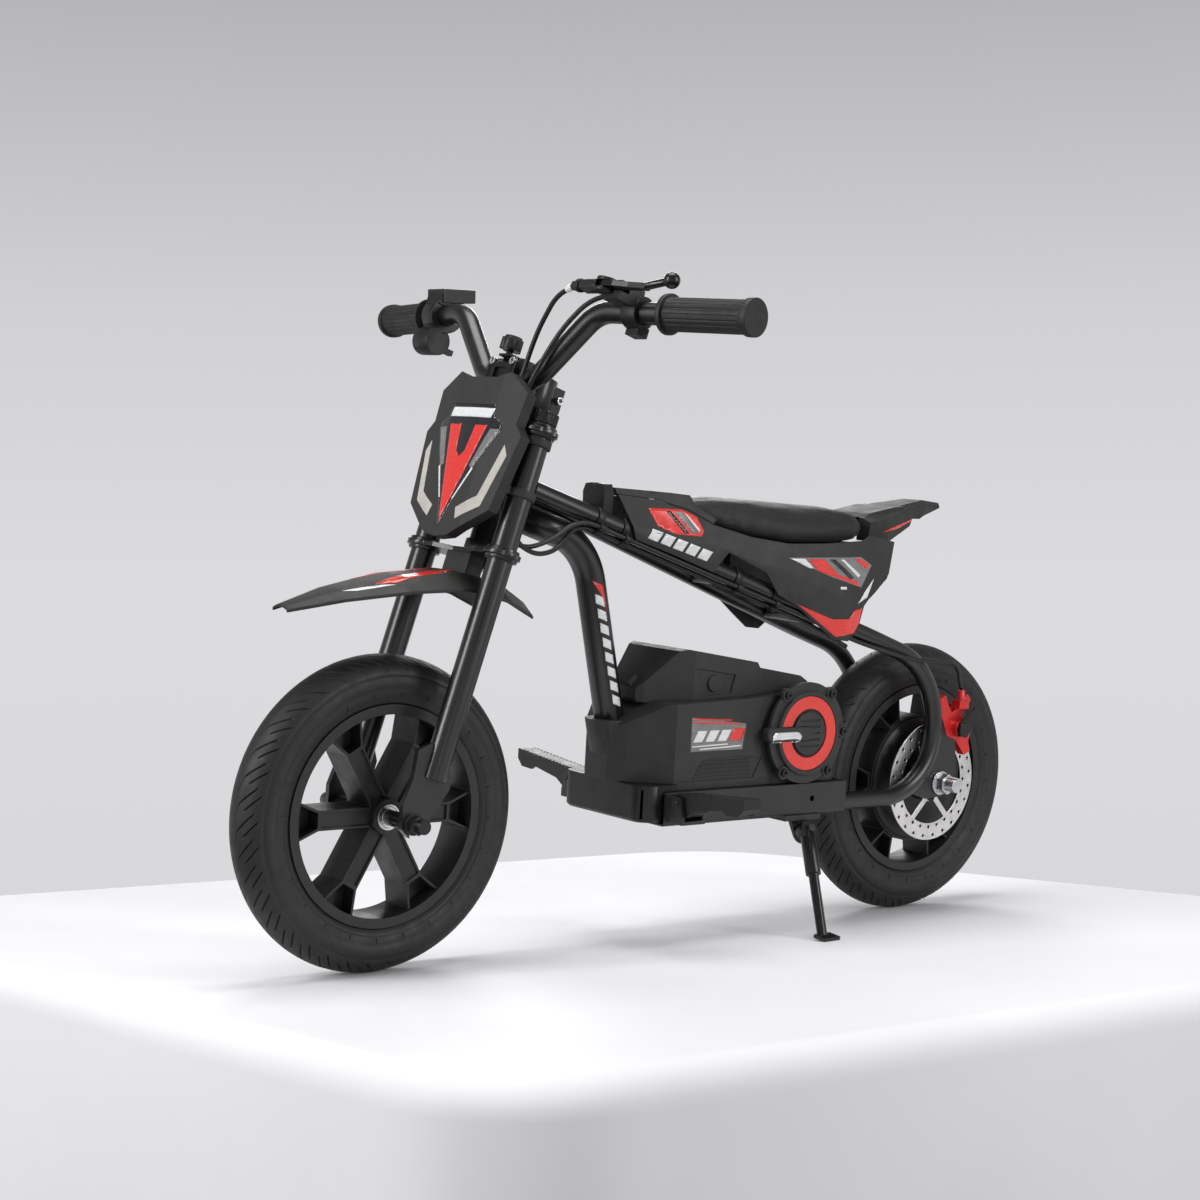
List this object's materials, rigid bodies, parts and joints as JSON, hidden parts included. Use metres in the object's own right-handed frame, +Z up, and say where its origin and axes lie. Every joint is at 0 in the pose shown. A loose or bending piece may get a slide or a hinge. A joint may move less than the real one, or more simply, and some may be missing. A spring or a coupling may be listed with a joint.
{
  "type": "ride-on electric mini dirt bike",
  "caption": "Ride-on electric mini dirt bike on its kickstand, with a steering fork, spinning wheels, disc brake, foot pegs and padded seat.",
  "frame": {"origin": "on the ground, at the centre of the bike's bounding box", "axes": "+X forward, +Y to the rider's left, +Z up; the bike leans 5 degrees to +Y onto its kickstand"},
  "size_m": [1.069, 0.6068, 0.7044],
  "materials": {
    "frame_paint": "satin black tube paint",
    "fork_paint": "satin black",
    "chassis_paint": "matte grey powder coat",
    "red_metal": "satin red",
    "zinc": "zinc plated",
    "black_steel": "black oxide",
    "disc_steel": "brushed",
    "motor_case": "matte",
    "wheel_plastic": "moulded",
    "body_plastic": "fine textured",
    "dark_plastic": "moulded",
    "red_plastic": "satin",
    "lamp_clear": "gloss",
    "screen_glass": "gloss",
    "tyre_rubber": "matte",
    "grip_rubber": "matte",
    "cable_jacket": "satin",
    "seat_vinyl": "grained",
    "battery_wrap": "matte"
  },
  "bodies": {
    "frame": {"head_tube": "frame_paint", "down_tube": "frame_paint", "frame_rail_left": "frame_paint", "frame_rail_right": "frame_paint", "seat_crossbars": "frame_paint", "chassis": "chassis_paint", "nose_bumper": "dark_plastic", "body_shell": "body_plastic", "battery_lid": "body_plastic", "engine_covers": "body_plastic", "cover_rings": "red_plastic", "cover_screws": "black_steel", "battery_pack": "battery_wrap", "seat_pan": "dark_plastic", "seat_cushion": "seat_vinyl", "fairing_left": "body_plastic", "fairing_right": "body_plastic", "tank_cowl": "body_plastic", "cowl_nose": "dark_plastic", "tail_cowl": "body_plastic", "rear_axle": "zinc", "rear_nuts": "zinc", "caliper_body": "red_metal", "brake_cable_rear": "cable_jacket", "switch_wire_rear": "cable_jacket", "cable_clips": "dark_plastic"},
    "steering": {"steerer": "black_steel", "fork_crowns": "fork_paint", "fork_legs": "fork_paint", "fork_caps": "dark_plastic", "front_axle": "black_steel", "front_nuts": "black_steel", "stem": "black_steel", "stem_faceplate": "black_steel", "stem_bolts": "zinc", "handlebar": "frame_paint", "grips": "grip_rubber", "brake_perch": "dark_plastic", "display_housing": "dark_plastic", "display_screen": "screen_glass", "number_plate": "body_plastic", "plate_lamps": "lamp_clear", "mudguard": "body_plastic", "brake_cable_front": "cable_jacket", "switch_wire_front": "cable_jacket"},
    "front_wheel": {"front_tyre": "tyre_rubber", "front_rim": "wheel_plastic", "front_bearings": "zinc"},
    "rear_wheel": {"rear_tyre": "tyre_rubber", "rear_rim": "wheel_plastic", "hub_motor": "motor_case", "brake_disc": "disc_steel", "disc_bolts": "black_steel"},
    "lever": {"brake_lever": "black_steel"},
    "throttle": {"throttle_lever": "dark_plastic"},
    "knob": {"stem_knob": "dark_plastic"},
    "caliper_lever": {"caliper_arm": "black_steel"},
    "stand": {"kickstand": "black_steel"},
    "peg_l": {"peg_left": "dark_plastic"},
    "peg_r": {"peg_right": "dark_plastic"}
  },
  "joints": [
    {"name": "steering_turn", "type": "hinge", "parent": "frame", "child": "steering", "pos_m": [0.2567, -0.02169, 0.40984], "axis": [-0.3007, 0.0831, 0.9501], "range_deg": [-35, 35]},
    {"name": "front_wheel_spin", "type": "hinge", "parent": "steering", "child": "front_wheel", "pos_m": [0.376, -0.04373, 0.158], "axis": [0, 0.9962, -0.0872], "continuous": true},
    {"name": "rear_wheel_spin", "type": "hinge", "parent": "frame", "child": "rear_wheel", "pos_m": [-0.376, -0.04373, 0.158], "axis": [0, 0.9962, -0.0872], "continuous": true},
    {"name": "brake_lever_pull", "type": "hinge", "parent": "steering", "child": "lever", "pos_m": [0.23966, 0.15157, 0.66926], "axis": [-0.3007, 0.0831, 0.9501], "range_deg": [0, 13], "stiffness_Nm_per_rad": 0.4},
    {"name": "caliper_arm_swing", "type": "hinge", "parent": "frame", "child": "caliper_lever", "pos_m": [-0.398, 0.03453, 0.2149], "axis": [0, 0.9962, -0.0872], "range_deg": [0, 14]},
    {"name": "throttle_press", "type": "hinge", "parent": "steering", "child": "throttle", "pos_m": [0.21671, -0.17468, 0.64621], "axis": [0, -0.9962, 0.0872], "range_deg": [0, 22], "stiffness_Nm_per_rad": 0.15},
    {"name": "stem_knob_turn", "type": "hinge", "parent": "steering", "child": "knob", "pos_m": [0.23652, -0.00278, 0.62599], "axis": [-0.3007, 0.0831, 0.9501], "continuous": true},
    {"name": "kickstand_fold", "type": "hinge", "parent": "frame", "child": "stand", "pos_m": [-0.145, 0.03261, 0.11267], "axis": [0.0867, 0.9036, 0.4196], "range_deg": [0, 90]},
    {"name": "left_peg_fold", "type": "hinge", "parent": "frame", "child": "peg_l", "pos_m": [0.044, 0.0484, 0.15546], "axis": [1, 0, 0], "range_deg": [0, 75]},
    {"name": "right_peg_fold", "type": "hinge", "parent": "frame", "child": "peg_r", "pos_m": [0.044, -0.1349, 0.1715], "axis": [-1, 0, 0], "range_deg": [0, 75]}
  ],
  "couplings": [
    {"joint": "caliper_arm_swing", "follows": "brake_lever_pull", "ratio": 1}
  ]
}
